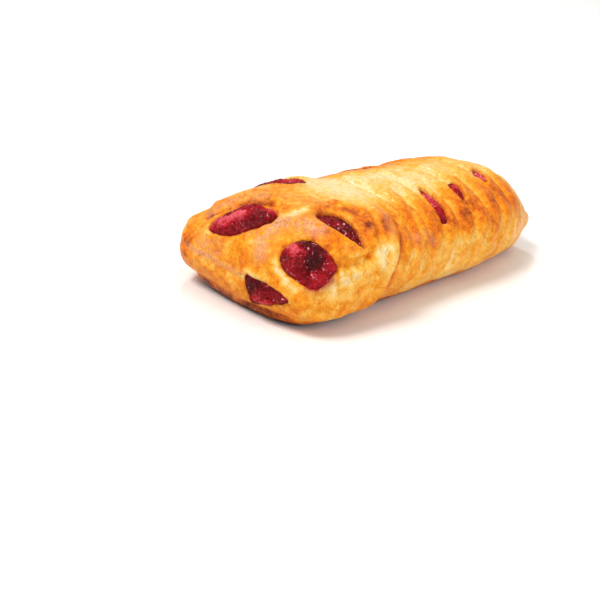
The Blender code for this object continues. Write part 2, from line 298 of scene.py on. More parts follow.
# Strawberry pieces that lie in a window, in mm from its centre: place along it and across it,
# reach along and across, height, and how ripe red (1) or dark and jammy (0) the piece is.
PIECES = {
    "near_left": (
        (-5.4, 0.4, 5.6, 2.3, 1.5, 0.95),
        (-0.6, 1.2, 4.4, 2, 1.9, 1.2),
        (2.5, 4.6, 4.4, 1.8, 1.6, 0.6),
        (4.6, 0.2, 3, 2.2, 1.3, 0.5),
        (7.6, -1, 3.4, 2.2, 0.9, 0.3),
        (9.4, 1.2, 2.6, 1.8, 1.2, 1),
        (-3.3, -3.6, 6.4, 2, 0.5, 0.45),
    ),
    "near_right": (
        (-1.6, -3.4, 4.8, 4.2, 2.3, 0.45),
        (-5.7, 1.4, 2.6, 2.4, 1.5, 1),
        (-3, 5.3, 3.4, 2, 0.9, 0.1),
        (5.9, 5, 2.6, 2.4, 1.5, 0.6),
        (6.4, -1.4, 3, 2.8, 1.3, 0.6),
        (2.2, 1.6, 2.2, 3, -0.6, -0.2),
    ),
    "near_face": (
        (5.4, -4.4, 3.4, 2.2, 0.8, 0.1),
        (1.8, -1.7, 3.2, 2.2, 1.2, 0.5),
        (-4.8, -0.9, 4, 2, 0.9, 0.5),
        (2.6, 1.2, 4.6, 1.6, 1, 0.85),
    ),
    "hood_right": (
        (-6.6, -1, 2.8, 2, 1, 0.5),
        (-3.6, 2.6, 3.2, 2.2, 1.1, 0.55),
        (1, 1.1, 3.8, 2.8, 1.2, 0.3),
        (6.2, -0.4, 3, 2.2, 1, 0.4),
    ),
    "hood_left": (
        (-5, 0, 4, 3, 0.7, 0.3),
        (1, 0.3, 4.5, 3.2, 0.9, 0.55),
        (6.8, 0, 3, 2.2, 0.6, 0.9),
    ),
    "middle_right": (
        (-2, 0, 4.5, 2.2, 0.6, 1),
        (4.6, 0, 3.2, 2, 0.5, 0.6),
    ),
    "far_right": (
        (-1.5, 0, 3, 1.6, 0.5, 0.8),
        (2, 0, 2.5, 1.4, 0.4, 0.5),
    ),
    "far_top": ((0, 0, 3.2, 1.3, 0.4, 0.95),),
}
LOOSE_PIECES = 5  # pieces drawn at random in a window that isn't listed above

# Folds and creases of the dough: width and height in mm, then places along and around.
GROOVE = ((26, -40), (32.1, -34), (37.3, -28.5), (40.3, -19), (41.1, -10.5), (42, -4))
FOLDS = (
    (1.0, -1.6, GROOVE),
    (1.8, 1.4, ((36, -44), (38, -42), (42, -35), (44.8, -25), (45.6, -13), (45.5, -5))),
    (3.6, 0.9, ((30, -48), (34, -46), (38, -44))),
    (2.2, 1.0, ((37, 8), (39, 20), (41.8, 39), (46, 52), (51, 60), (56, 61))),
    (1.9, 1.4, ((60, 11), (63, 20), (63, 32), (61, 42), (57, 51))),
    (0.9, -0.5, ((67.5, 16), (66.5, 21), (65.2, 29), (64, 39), (61.7, 52))),
    (0.8, -0.4, ((73, 18), (71.5, 25), (68.5, 39), (65.7, 53), (60.2, 73))),
    (1.2, -0.7, ((88.1, 16), (82.7, 36), (80.2, 52), (79.9, 72))),
    (1.6, -1.5, ((34, 63.5), (40, 66), (44, 67), (49, 67), (55, 64.5))),
    (1.3, 0.6, ((33, 74), (42, 76), (50, 77), (58, 75))),
    (0.9, -0.5, ((35, 80), (43, 82), (52, 84), (57, 82))),
    (0.9, -0.5, ((30, 88), (40, 89), (50, 91))),
    (0.8, -0.4, ((10, -70), (8.5, -60), (7, -50), (6, -30))),
    (1.2, -0.5, ((56, -60), (60, -75), (66, -92))),
    (1.2, -0.5, ((128, -70), (133, -84), (140, -100))),
    (1.0, -0.4, ((150, 40), (154, 60), (158, 75))),
)

# Marks on the crust: reach in mm, how much browner (+) or paler (-), then places along and
# around. Most are baking marks; the rows marked below are painted shade or painted highlights.
BAKE_AND_SHADING_MARKS = (
    # Painted shade in the groove above the near-left window, with some browning.
    (1.2, 0.62, GROOVE),
    (1.6, 0.36, ((64.5, 26.8), (63, 34), (61, 42), (58.8, 51.5))),
    (1.2, 0.34, ((67.2, 35.2), (65.5, 44.5), (63.2, 54.8))),
    (1.2, 0.30, ((66.5, 21), (65.2, 29), (64, 39), (61.9, 50))),
    (1.2, 0.26, ((71.5, 25), (68.5, 39), (66.2, 50))),
    (2.2, 0.20, ((70.7, 40), (68.2, 54), (70.5, 68), (71, 80))),
    (1.3, -0.34, ((88.1, 16), (82.7, 36), (80.2, 52), (79.9, 68))),
    (3.2, 0.24, ((73.7, 57), (76.5, 62), (75.7, 70))),
    (2.6, 0.22, ((82.7, 66), (83, 72))),
    (1.8, 0.22, ((99.6, 52), (99.8, 54))),
    (3.5, 0.12, ((118.5, 55), (119, 60))),
    (2.2, 0.22, ((58, 14), (60, 24), (59.5, 34), (57, 45))),
    # The next four rows are painted highlights, on dough that is paler there as well: along the
    # strip below the near-left window, between it and the hood-right window, by the near-right
    # window's lower edge, and along a crease over the near tip.
    (1.6, -0.24, ((19.7, 8.5), (22.2, 11.2), (31, 9), (36, 7))),
    (2.4, -0.50, ((40.5, 10), (43, 12.5), (46, 13.5))),
    (1.5, -0.42, ((15.5, 33), (13.7, 38), (12.6, 52), (12.7, 65), (14.5, 78))),
    (1.3, -0.34, ((0.9, 158), (3.2, 60), (3.4, 20))),
    (2.0, -0.10, ((46.6, 60.5), (50, 59), (54, 58))),
    (3.0, 0.06, ((36, 40), (41, 48), (43, 55))),
    (3.0, -0.14, ((37, 6), (38.8, 14), (39.3, 22))),
    (1.4, 0.16, ((60.5, 13), (63, 24), (62.6, 34), (60.8, 44))),
    (6.5, -0.32, ((34, 84), (44, 82), (54, 80), (60, 74))),
    (4.0, -0.26, ((58, 70), (61, 66))),
    (4.0, -0.10, ((10, -60), (6, -120), (5, 170))),
    # Painted shade round the upper rim of the near-right window, with some browning.
    (1.6, 0.14, ((15, 62), (18, 38), (24, 27), (33, 34))),
    (3.0, 0.10, ((88, 50), (94, 58), (97, 64))),
    (11.0, -0.20, ((70, -8), (84, -4), (97, 6))),
    (4.0, 0.10, ((37, 10), (39.3, 26), (41.8, 39), (46, 52))),
    (3.5, 0.18, ((12, -92), (13, -70))),
    # Painted shade low on the -Y side towards the far end.
    (4.5, 0.14, ((113, 78), (114, 92))),
    (4.0, 0.22, ((143, 92), (150, 90))),
    (2.2, 0.22, ((47, 15), (54, 16), (59, 26), (60, 38), (57, 50))),
    (3.0, 0.30, ((150, -70), (158, -60))),
    (2.5, 0.34, ((84, -84), (88, -78))),
    (3.0, 0.25, ((110, -96), (118, -92))),
    (2.0, 0.34, ((66, -84), (69, -78))),
)

# Skin that dried to a crackled pinkish brown: reach in mm, strength, then places.
DRIED = (
    (2.7, 1.0, ((35.5, 9), (37.8, 15), (38.3, 24), (40, 32))),
    (2.8, 0.8, ((15.7, 18), (20, 13), (24, 10), (32, 9))),
    (3.2, 0.5, ((9, -50), (8, -25))),
    (1.7, 0.9, ((28.6, -43), (36, -42), (41.3, -33), (43.8, -24), (44.6, -12.2))),
    (2.0, 0.35, ((70.5, 28), (68.5, 42), (66, 54))),
    (5.0, 0.45, ((152, 40), (160, 60), (164, 85))),
    (1.3, 0.5, ((9, -87.5), (1.5, -77), (0.5, -173.8), (0.7, 150.5))),
    (2.4, 0.4, ((75, 58), (77, 64))),
    (2.2, 0.4, ((82, 62), (83, 72))),
    (5.0, 0.35, ((140, 86), (150, 88))),
    (2.5, 0.6, ((84, -84), (88, -78))),
    (2.5, 0.6, ((60, -70), (66, -82))),
    (3.0, 0.6, ((128, -72), (134, -84))),
    (3.0, 0.5, ((168, -40), (172, -90), (168, -140))),
)

# Jam that ran out and baked on: reach in mm, strength, then places along and around.
STAINS = (
    (1.9, 0.55, ((22.5, 74), (25.5, 75), (29, 74), (32, 71))),
    (2.0, 0.45, ((21, 77), (24, 80.5), (28, 79), (32, 75))),
    (1.1, 0.5, ((37.5, 0), (39.2, 2))),
    (1.3, 0.5, ((29, -43), (31.5, -45))),
    (1.8, 0.25, ((61, -19), (62, -14))),
    (1.3, 0.6, ((124.5, 24), (125.5, 15))),
    (1.4, 0.5, ((142, -66), (143, -70))),
    (1.2, 0.6, ((100, -66), (100.5, -70))),
)


def smooth_ramp(value):
    """0 below 0, 1 above 1, and smooth in between."""
    held = np.clip(value, 0.0, 1.0)
    return held * held * (3.0 - 2.0 * held)


def bell(value):
    """1 at 0, and smoothly down to 0 on both sides."""
    return np.exp(-(value**2))


def signed_power(value, power):
    return np.sign(value) * np.abs(value) ** power


def quarter_round(distance, radius):
    """The height, as a share, of a quarter circle at this distance from its start."""
    held = np.clip(1.0 - distance / radius, 0.0, 1.0)
    return np.sqrt(np.clip(1.0 - held * held, 0.0, 1.0))


def plain_form(along, around, end_inset=0.0, side_inset=0.0, top_inset=0.0, base_inset=0.0):
    """Points of the bun's plain form, or of the same form drawn in by the insets."""
    along = np.asarray(along, float)
    around = np.asarray(around, float)
    length = LENGTH - 2.0 * end_inset
    share = -np.cos(np.radians(along))
    near = share < 0.0
    squareness = np.where(near, NEAR_SQUARENESS, FAR_SQUARENESS)
    plan = np.clip(1.0 - np.abs(share) ** squareness, 0.0, 1.0) ** (1.0 / squareness)
    widening = np.where(near, NEAR_WIDENING, FAR_WIDENING)
    half_width = (WIDTH / 2.0 * (1.0 + widening * share**2) - side_inset) * plan
    from_tip = (1.0 - np.abs(share)) * length / 2.0
    rise = quarter_round(from_tip, np.where(near, NEAR_TOP_RADIUS, FAR_TOP_RADIUS))
    fall = quarter_round(from_tip, END_BASE_RADIUS)
    drop = np.clip(1.0 - from_tip / BELLY_RUN, 0.0, 1.0) ** 2
    end_belly = np.where(near, NEAR_BELLY_Z, FAR_BELLY_Z)
    belly = BELLY_Z + (end_belly - BELLY_Z) * drop
    crown = np.maximum(HEIGHT - top_inset - belly, 1.0 * MM) * rise
    under = np.maximum(belly - base_inset + SINK, 1.0 * MM) * fall
    cosine = np.cos(np.radians(around))
    sine = np.sin(np.radians(around))
    y = -half_width * signed_power(sine, 2.0 / SIDE_POWER)
    up = crown * np.abs(cosine) ** (2.0 / CROWN_POWER)
    down = under * np.abs(cosine) ** (2.0 / UNDERSIDE_POWER)
    z = belly + np.where(cosine > 0.0, up, -down)
    return np.stack([share * length / 2.0, y, z], axis=-1)


def outward(along, around):
    """Unit normals of the plain form, by small steps along and around it."""
    step = 0.4
    along = np.clip(np.asarray(along, float), step, 180.0 - step)
    around = np.asarray(around, float)
    lengthwise = plain_form(along + step, around) - plain_form(along - step, around)
    crosswise = plain_form(along, around + step) - plain_form(along, around - step)
    normal = np.cross(crosswise, lengthwise)
    return normal / np.maximum(np.linalg.norm(normal, axis=-1, keepdims=True), 1e-12)


def angle_apart(first, second):
    return (first - second + 180.0) % 360.0 - 180.0


def window_frame(window):
    """A window's centre, its two directions in the crust, and the crust's normal there."""
    centre = plain_form(window.along, window.around)
    normal = outward(window.along, window.around)
    step = 0.5
    down = plain_form(window.along, window.around + step)
    down = down - plain_form(window.along, window.around - step)
    down -= normal * np.dot(down, normal)
    down /= np.linalg.norm(down)
    turn = math.radians(window.turn)
    first = down * math.cos(turn) + np.cross(down, normal) * math.sin(turn)
    second = np.cross(normal, first)
    along, across = window.shift
    return centre + (first * along + second * across) * MM, first, second, normal


def past_hood(points, around):
    """How far points lie behind the hood's edge, in its softness, and how much edge there is."""
    turn = np.abs(around)
    edge = HOOD_EDGE_X - HOOD_EDGE_SLANT * (turn / 100.0) ** 2
    start, full, fade, end = HOOD_SPAN
    side = smooth_ramp((turn - start) / (full - start)) * smooth_ramp((end - turn) / (end - fade))
    return (points[..., 0] - edge) / HOOD_SOFTNESS, side


def hood_relief(points, around):
    """The step down from the hood to the ribbed middle, which fades out over the top."""
    past, side = past_hood(points, around)
    step = 0.5 - 0.5 * np.tanh(past)
    lip = HOOD_LIP * bell((past + 2.2) / 1.8)
    return HOOD_STEP * side * (step + lip - 0.5)


def slit_shares(points, around):
    """Where the ribbed part is, 0 to 1, and how deep in a shut slit a point lies, 0 to 1."""
    slanted = points[..., 0] + RIB_SLANT * (np.abs(around) / 100.0) ** 2
    row = np.round((slanted - RIB_START_X) / RIB_PITCH)
    inside = smooth_ramp((slanted - RIB_START_X) / RIB_PITCH + 0.8)
    inside = inside * smooth_ramp((RIB_END_X - slanted) / RIB_PITCH + 0.5)
    inside = inside * smooth_ramp((112.0 - np.abs(around)) / 20.0)
    from_row = slanted - RIB_START_X - row * RIB_PITCH
    shifted = around - np.where(row % 2 == 0, 0.0, SLIT_SPACING_ARC / 2.0)
    from_slit = shifted - SLIT_SPACING_ARC * np.round(shifted / SLIT_SPACING_ARC)
    tip = smooth_ramp((SLIT_HALF_ARC - np.abs(from_slit)) / 9.0)
    groove = bell(from_row / SLIT_HALF_WIDTH) * (0.25 + 0.75 * tip)
    return inside, groove


def swelling_relief(along, around):
    total = np.zeros(np.broadcast(along, around).shape)
    for place, turn, reach, spread, height in SWELLINGS:
        apart = ((along - place) / reach) ** 2 + (angle_apart(around, turn) / spread) ** 2
        total = total + height * MM * np.exp(-apart)
    return total


def seam_relief(points, along):
    """The line round the near end where the lattice sheet meets the base sheet."""
    level = SEAM_Z + SEAM_TILT * points[..., 1]
    above = (points[..., 2] - level) / SEAM_WIDTH
    reach = smooth_ramp((SEAM_REACH - along) / 20.0)
    line = -bell(above)
    lip = 0.6 * bell((above + 2.0) / 1.2)
    return SEAM_DEPTH * reach * (line + lip)


def base_seam(points):
    """Where the thin line above the base runs, 0 to 1: the edge of the sheet underneath."""
    level = BASE_SEAM_Z + 0.9 * MM * grain(points, 14.0 * MM, 2, seed=21.0)
    line = bell((points[:, 2] - level) / BASE_SEAM_WIDTH)
    return line * smooth_ramp(0.75 + 1.2 * grain(points, 9.0 * MM, 2, seed=23.0))


def waviness(points):
    """Slow unevenness of hand-shaped dough."""
    x, y, z = (points[..., i] / MM for i in range(3))
    wave = np.sin(0.11 * x + 0.07 * y + 1.3) * np.sin(0.13 * y - 0.05 * x + 0.4)
    fine = np.sin(0.31 * x - 0.17 * z + 2.1) * np.cos(0.27 * y + 0.21 * z + 0.6)
    return (0.55 * wave + 0.22 * fine) * MM


def crust_points(along, around, extra=0.0):
    """The crust's surface with its relief, and any extra relief, standing on a flat base."""
    points = plain_form(along, around)
    ribbed, groove = slit_shares(points, around)
    turned = hood_relief(points, around) + ribbed * SLIT_DEPTH * (RIB_LIFT - groove)
    turned = turned + swelling_relief(along, around)
    off_tip = smooth_ramp(np.minimum(along, 180.0 - along) / TIP_FADE)
    relief = turned * off_tip + seam_relief(points, along) + waviness(points) + extra
    on_top = smooth_ramp((points[..., 2] - 1.0 * MM) / (5.0 * MM))
    shaped = points + outward(along, around) * (relief * on_top)[..., None]
    shaped[..., 2] = np.maximum(shaped[..., 2] - SINK * (1.0 - on_top), 0.0)
    return shaped


def grain(points, size, octaves=3, seed=0.0):
    """Smooth noise of this feature size at each point, about -1 to 1."""
    places = (points / size + seed).tolist()
    return np.array([noise.fractal(Vector(place), 1.0, 2.0, octaves) for place in places])


def to_segment(points, start, end):
    """The way to each point from the nearest place of a segment, and its squared length."""
    step = end - start
    share = np.clip((points - start) @ step / (step @ step), 0.0, 1.0)
    apart = points - start - share[:, None] * step
    return apart, np.einsum("ij,ij->i", apart, apart)


def near_lines(points, lines):
    """The sum of the strengths of soft lines on the crust, at each point."""
    total = np.zeros(len(points))
    for reach, strength, places in lines:
        spots = np.array(places, float)
        knots = crust_points(spots[:, 0], spots[:, 1])
        best = np.full(len(points), np.inf)
        for start, end in zip(knots[:-1], knots[1:]):
            best = np.minimum(best, to_segment(points, start, end)[1])
        total += strength * np.exp(-best / (reach * MM) ** 2)
    return total


def outline_at(window, turn, grown=0.0):
    """Points of the window's outline in its own plane, at these angles round its centre."""
    cosine, sine = np.cos(turn), np.sin(turn)
    power = np.where(cosine > 0.0, 1.0 - window.blunt, 1.0)
    along = (window.half_length + grown) * signed_power(cosine, power)
    across = (window.half_width + grown) * signed_power(sine, window.sharpness * power)
    across = across * (1.0 + window.skew * cosine) * (1.0 + window.bulge * np.sign(sine))
    return np.stack([along, across], axis=-1)


def outline_of(window, count=72):
    """The window's outline in its own plane, as count points."""
    return outline_at(window, np.linspace(0.0, 2.0 * np.pi, count, endpoint=False))


def into_window(window, flat):
    """How far each flat point lies inside the outline (below 0 outside), and the way in."""
    corners = outline_of(window)
    best = np.full(len(flat), np.inf)
    nearest = np.zeros_like(flat)
    inside = np.zeros(len(flat), bool)
    for start, end in zip(corners, np.roll(corners, -1, axis=0)):
        step = end - start
        apart, distance = to_segment(flat, start, end)
        closer = distance < best
        best = np.where(closer, distance, best)
        nearest[closer] = apart[closer]
        between = (start[1] > flat[:, 1]) != (end[1] > flat[:, 1])
        rise = step[1] if abs(step[1]) > 1e-12 else 1e-12
        crossing = start[0] + (flat[:, 1] - start[1]) * step[0] / rise
        inside ^= between & (flat[:, 0] < crossing)
    side = np.where(inside, 1.0, -1.0)
    distance = np.sqrt(best)
    way_in = nearest * (side / np.maximum(distance, 1e-9))[:, None]
    return distance * side, way_in


def in_frame_of(window, points):
    """The points in the window's own plane, and their height over it."""
    centre, first, second, normal = window_frame(window)
    apart = points - centre
    return np.stack([apart @ first, apart @ second], axis=-1), apart @ normal


def close_to(window, points, past_ends, off_plane):
    """The points in the window's own plane, their height over it, and which lie close to it."""
    flat, height = in_frame_of(window, points)
    near = np.linalg.norm(flat, axis=1) < window.half_length + past_ends
    return flat, height, np.flatnonzero(near & (np.abs(height) < off_plane))


def linear(hex_colour):
    """An sRGB hex colour as linear red, green and blue."""
    value = hex_colour.lstrip("#")
    shares = (int(value[i : i + 2], 16) / 255.0 for i in (0, 2, 4))
    return tuple(s / 12.92 if s <= 0.04045 else ((s + 0.055) / 1.055) ** 2.4 for s in shares)


def colour_property(name, hex_colour, description):
    return FloatVectorProperty(
        name=name,
        description=description,
        subtype="COLOR",
        size=3,
        min=0.0,
        max=1.0,
        default=linear(hex_colour),
    )


def length_property(name, millimetres, description):
    return FloatProperty(
        name=name,
        description=description,
        default=millimetres * MM,
        min=0.0,
        max=20.0 * MM,
        precision=5,
        unit="LENGTH",
    )


def power_property(name, watts, description):
    return FloatProperty(name=name, description=description, default=watts, min=0, unit="POWER")


def add_node(tree, kind, values=None, links=None, stops=(), output=0, **settings):
    """Adds a shader node with its settings, values and links. Returns one of its outputs."""
    node = tree.nodes.new("ShaderNode" + kind)
    for name, value in settings.items():
        setattr(node, name, value)
    for socket, value in (values or {}).items():
        node.inputs[socket].default_value = value
    for socket, source in (links or {}).items():
        tree.links.new(source, node.inputs[socket])
    for index, (place, colour) in enumerate(stops):
        ramp = node.color_ramp.elements
        stop = ramp[index] if index < 2 else ramp.new(place)
        stop.position = place
        stop.color = (*colour, 1.0)
    return node.outputs[output] if node.outputs else None


def new_material(name):
    """A material without nodes, and its tree."""
    material = bpy.data.materials.new(name)
    material.use_nodes = True
    material.node_tree.nodes.clear()
    return material, material.node_tree


def linked_object(name, data):
    """A new object in the scene."""
    obj = bpy.data.objects.new(name, data)
    bpy.context.scene.collection.objects.link(obj)
    return obj


def mesh_from(shape, name):
    """A mesh of the bmesh, which is freed."""
    mesh = bpy.data.meshes.new(name)
    shape.to_mesh(mesh)
    shape.free()
    return mesh


def unit_sphere(name, rings, segments, shape_edit=None):
    """A UV sphere of radius 1 with its poles on X."""
    shape = bmesh.new()
    bmesh.ops.create_uvsphere(shape, u_segments=segments, v_segments=rings, radius=1.0)
    lie_down = Matrix.Rotation(math.radians(-90.0), 3, "Y")
    bmesh.ops.rotate(shape, verts=shape.verts, matrix=lie_down)
    bmesh.ops.recalc_face_normals(shape, faces=shape.faces)
    if shape_edit is not None:
        shape_edit(shape)
    return mesh_from(shape, name)


def points_of(mesh):
    flat = np.empty(len(mesh.vertices) * 3, np.float32)
    mesh.vertices.foreach_get("co", flat)
    return flat.reshape(-1, 3).astype(float)


def set_points(mesh, points):
    mesh.vertices.foreach_set("co", points.astype(np.float32).ravel())
    mesh.update()


def set_attribute(mesh, name, values):
    attribute = mesh.attributes.new(name, "FLOAT", "POINT")
    attribute.data.foreach_set("value", np.asarray(values, np.float32))


def crust_angles(unit):
    """The along and around angles of points of the unit sphere, so that its rings lie evenly
    over the bun's flat ends and its sides, and more of its segments on top."""
    unit = unit / np.linalg.norm(unit, axis=-1, keepdims=True)
    ring = np.arccos(np.clip(-unit[..., 0], -1.0, 1.0)) / np.pi
    half = 90.0 * np.linspace(0.0, 1.0, 900) ** 3
    places = np.concatenate([half, 180.0 - half[-2::-1]])
    side = plain_form(places, RING_PROFILE)
    steps = np.linalg.norm(np.diff(side, axis=0), axis=1)
    travelled = np.concatenate([[0.0], np.cumsum(steps)])
    along = np.interp(ring, travelled / travelled[-1], places)
    turned = np.arctan2(-unit[..., 1], unit[..., 2])
    return along, np.degrees(turned - SEGMENT_CROWDING * np.sin(turned))


def split_near_windows(shape):
    """Splits the sphere's faces where the windows' rims will be."""
    for outside, within in RIM_PASSES:
        faces = list(shape.faces)
        middles = np.array([tuple(face.calc_center_median()) for face in faces])
        places = plain_form(*crust_angles(middles))
        chosen = np.zeros(len(faces), bool)
        for window in WINDOWS.values():
            flat, _, found = close_to(window, places, outside, CRUST_REACH)
            inside, _ = into_window(window, flat[found])
            chosen[found[(inside > -outside) & (inside < within)]] = True
        edges = {edge for face, pick in zip(faces, chosen) if pick for edge in face.edges}
        bmesh.ops.subdivide_edges(shape, edges=list(edges), cuts=1, use_grid_fill=True)
    many = [face for face in shape.faces if len(face.verts) > 4]
    bmesh.ops.triangulate(shape, faces=many)


def carve_windows(points, rim_radius):
    """Rolls the crust into each window. Returns the points, how deep each one was rolled, and
    how many mm inside a window's outline it lies (below 0 outside)."""
    shaped = points.copy()
    depths = np.zeros(len(points))
    rims = np.full(len(points), -1.0)
    for number, window in enumerate(WINDOWS.values()):
        _, first, second, normal = window_frame(window)
        flat, _, found = close_to(window, points, RIM_RUN, CRUST_REACH)
        inside, way_in = into_window(window, flat[found])
        inside = inside + RAGGED_HEIGHT * grain(points[found], RAGGED_SIZE, 2, seed=number)
        # The fuller side of a window rolls in more widely.
        fuller = window.bulge * smooth_ramp(flat[found, 1] / FULLER_BLEND + 0.5)
        rim = min(rim_radius, NARROW_RIM * window.half_width) * (1.0 + FULLER_RIM * fuller)
        depth = min(WALL_DEPTH, 2.0 * window.half_width)
        wall = min(WALL_RUN, NARROW_WALL * window.half_width)
        rolled = np.clip((inside + rim) / rim, 0.0, 1.0)
        down = rim * (1.0 - np.sqrt(1.0 - rolled**2))
        walled = np.clip(inside / wall, 0.0, 1.0)
        down = down + depth * (1.0 - (1.0 - walled) ** 2)
        most = max(float(inside.max()), wall * 1.5)
        beyond = WALL_LEAN * wall + (inside - wall) * (most - WALL_LEAN * wall) / (most - wall)
        placed = np.where(inside < wall, WALL_LEAN * inside, beyond)
        move = np.where(inside > 0.0, placed - inside, 0.0)
        shift = first * (way_in[:, :1] * move[:, None]) + second * (way_in[:, 1:] * move[:, None])
        bead = BEAD_HEIGHT * bell((inside + 2.2 * rim) / (1.1 * rim))
        shaped[found] += shift + normal * (bead - down)[:, None]
        depths[found] = np.maximum(depths[found], down)
        rims[found] = np.maximum(rims[found], inside / MM)
    return shaped, depths, rims


def bake_and_shading_shares(points, along, around, depths, folds):
    """How dark the crust's colour is at each point, 0 pale dough to 1 dark brown: its browning,
    with painted shade and painted highlights mixed in.
    """
    plain = plain_form(along, around)
    ribbed, groove = slit_shares(plain, around)
    turn = np.abs(around)
    behind, side = past_hood(plain, around)
    hood = smooth_ramp((68.0 - along) / 12.0)
    # The foot: browning where the base lay on the tray, and painted contact shadow along the
    # base.
    foot = smooth_ramp(1.0 - (points[:, 2] - 0.8 * MM) / (4.2 * MM))
    shares = {
        "dough": 1.0,
        "shoulder": ribbed * bell((turn - 46.0) / 20.0),
        "strips": ribbed * (RIB_LIFT - groove),
        "crest": bell(turn / 24.0) * smooth_ramp((along - 45.0) / 20.0),
        "hood": hood,
        "hood_flecks": hood * grain(points, 2.6 * MM, 3, seed=31.0),
        "low_sides": smooth_ramp((turn - 60.0) / 25.0) * smooth_ramp((along - 66.0) / 12.0),
        # A darker band just behind the hood's step: browner dough and painted shade under the
        # step.
        "hood_step_shade": side * bell(behind - 0.9),
        "clouds": grain(points, 17.0 * MM, 2, seed=3.0),
        "blotches": grain(points, 6.0 * MM, 3, seed=9.0),
        # Baking marks, with painted shade and painted highlights among them.
        "marks": near_lines(points, BAKE_AND_SHADING_MARKS) * (0.8 + 0.5 * grain(points, 3.0 * MM, 2, seed=5.0)),
        "foot": foot,
        "hood_foot": foot * hood,
        "foot_flecks": foot * grain(points, 4.0 * MM, 3, seed=14.0),
        "base_seam": base_seam(plain),
        # Painted shade in the grooves of the folds, darker where they are deeper.
        "creases": np.clip(-folds / MM, 0.0, 1.5),
        "rims": smooth_ramp(depths / (0.9 * MM))
        * smooth_ramp(1.0 - (depths - 1.2 * MM) / (2.6 * MM)),
    }
    return sum(weight * shares[name] for name, weight in BAKE_AND_SHADING_WEIGHTS.items())


def crust_material(colours):
    """Puff pastry, brushed with egg and baked: golden where it is thin, orange to brown
    where it rises, with a soft gloss from the egg and fine wrinkles."""
    material, tree = new_material("puff_pastry_egg_washed")
    coords = add_node(tree, "TexCoord", output="Object")
    shade, dry, jam = (
        add_node(tree, "Attribute", output="Fac", attribute_name=name)
        for name in ("bake", "dry", "jam")
    )
    noises = {}
    for name, size, detail, distortion in (
        ("mottle", 7.0, 5.0, 1.2),  # the oven's slow unevenness
        ("fleck", 1.8, 5.0, 0.8),  # spots where the egg pooled
        ("veins", 5.0, 4.0, 0.9),
        ("wrinkles", 2.4, 5.0, 1.2),
        ("fine", 0.8, 3.0, 0.2),
    ):
        values = {"Scale": 1.0 / (size * MM), "Detail": detail, "Distortion": distortion}
        noises[name] = add_node(tree, "TexNoise", values, {"Vector": coords})
    # Thin lines, where a pattern crosses its middle: cracks of the egg wash and of dry skin.
    cracks = {}
    for name, width, strength in (("veins", 0.022, 1.0), ("wrinkles", 0.034, 0.7)):
        line = add_node(tree, "Math", {1: 0.5}, {0: noises[name]}, operation="SUBTRACT")
        line = add_node(tree, "Math", links={0: line}, operation="ABSOLUTE")
        values = {"From Max": width, "To Min": strength, "To Max": 0.0}
        cracks[name] = add_node(tree, "MapRange", values, {"Value": line})
    # The crust's tone: the browning, painted shade and painted highlights of the shape, the two
    # patterns and the cracks.
    for source, weight in (
        (noises["mottle"], 0.50),
        (noises["fleck"], 0.44),
        (cracks["veins"], 0.09),
    ):
        links = {0: source, 2: shade}
        shade = add_node(tree, "Math", {1: weight}, links, operation="MULTIPLY_ADD")
    shade = add_node(tree, "Math", {1: 0.49}, {0: shade}, operation="SUBTRACT")
    stops = (
        (0.0, colours.cream),
        (1.0, colours.scorched),
        (0.22, colours.pale),
        (0.42, colours.golden),
        (0.60, colours.orange),
        (0.80, colours.brown),
    )
    skin = add_node(tree, "ValToRGB", links={"Fac": shade}, stops=stops)
    # Dried skin shows in patches, with finer and darker cracks. Jam soaks in unevenly.
    patches = {"From Min": 0.37, "From Max": 0.53}
    patches = add_node(tree, "MapRange", patches, {"Value": noises["fleck"]})
    soaked = add_node(tree, "Math", {1: 0.5}, {0: noises["fleck"]}, operation="ADD")
    for source, where, tone in (
        (patches, dry, colours.dried),
        (cracks["wrinkles"], dry, colours.brown),
        (soaked, jam, colours.jam_stain),
    ):
        links = {0: source, 1: where}
        share = add_node(tree, "Math", links=links, operation="MULTIPLY", use_clamp=True)
        links = {0: share, 6: skin}
        skin = add_node(tree, "Mix", {7: (*tone, 1.0)}, links, output=2, data_type="RGBA")
    relief = noises["wrinkles"]
    for source, weight in ((noises["fine"], 0.5), (cracks["veins"], -0.12)):
        links = {0: source, 2: relief}
        relief = add_node(tree, "Math", {1: weight}, links, operation="MULTIPLY_ADD")
    bump = add_node(tree, "Bump", {"Strength": 1.0, "Distance": 0.9 * MM}, {"Height": relief})
    values = {"From Min": 0.3, "From Max": 0.7, "To Min": 0.30, "To Max": 0.5}
    gloss = add_node(tree, "MapRange", values, {"Value": noises["mottle"]})
    shader = add_node(
        tree,
        "BsdfPrincipled",
        {"IOR": 1.4, "Specular IOR Level": 0.2, "Coat Weight": 0.16, "Coat Roughness": 0.16},
        {"Base Color": skin, "Normal": bump, "Roughness": gloss},
    )
    add_node(tree, "OutputMaterial", links={"Surface": shader})
    return material


